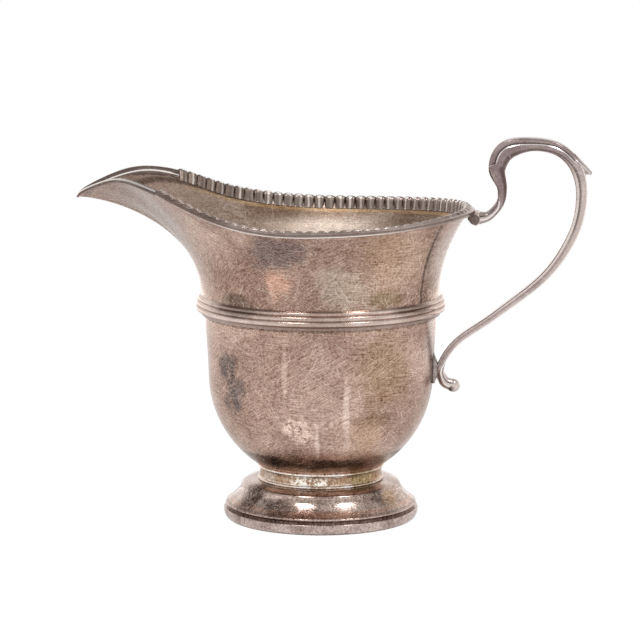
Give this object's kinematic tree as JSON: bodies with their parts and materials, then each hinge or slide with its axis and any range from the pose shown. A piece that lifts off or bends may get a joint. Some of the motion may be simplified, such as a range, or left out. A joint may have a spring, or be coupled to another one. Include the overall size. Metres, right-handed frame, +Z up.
{
  "type": "creamer",
  "caption": "Helmet-shaped silver-plate cream jug on a spun foot, with a drawn-out spout, a reeded girdle, a gadrooned rim and a scroll handle, for pouring cream at table.",
  "frame": {"origin": "on the table, under the middle of the jug's length from spout tip to handle", "axes": "+X from the spout to the handle, +Y across the jug, +Z up; the round bowl's axis is at x = -3.4 mm"},
  "size_m": [0.1396, 0.0818, 0.1049],
  "materials": {
    "body_plate": "tarnished silver plate on nickel silver, warm brown-grey, finely scratched",
    "foot_plate": "tarnished silver plate, darker in the corners",
    "trim_plate": "silver plate, bright on the high places and dark between them",
    "handle_plate": "cast and plated, pinkish grey, worn bright on the edges"
  },
  "bodies": {
    "root": {"foot_rim_band": "foot_plate", "foot": "foot_plate", "foot_collar": "foot_plate", "bowl": "body_plate", "girdle_band": "trim_plate", "upper_body": "body_plate", "gadroon_border": "trim_plate", "spout_lip": "trim_plate", "handle": "handle_plate", "handle_root_pad": "handle_plate", "handle_heel_pad": "handle_plate"}
  },
  "joints": []
}
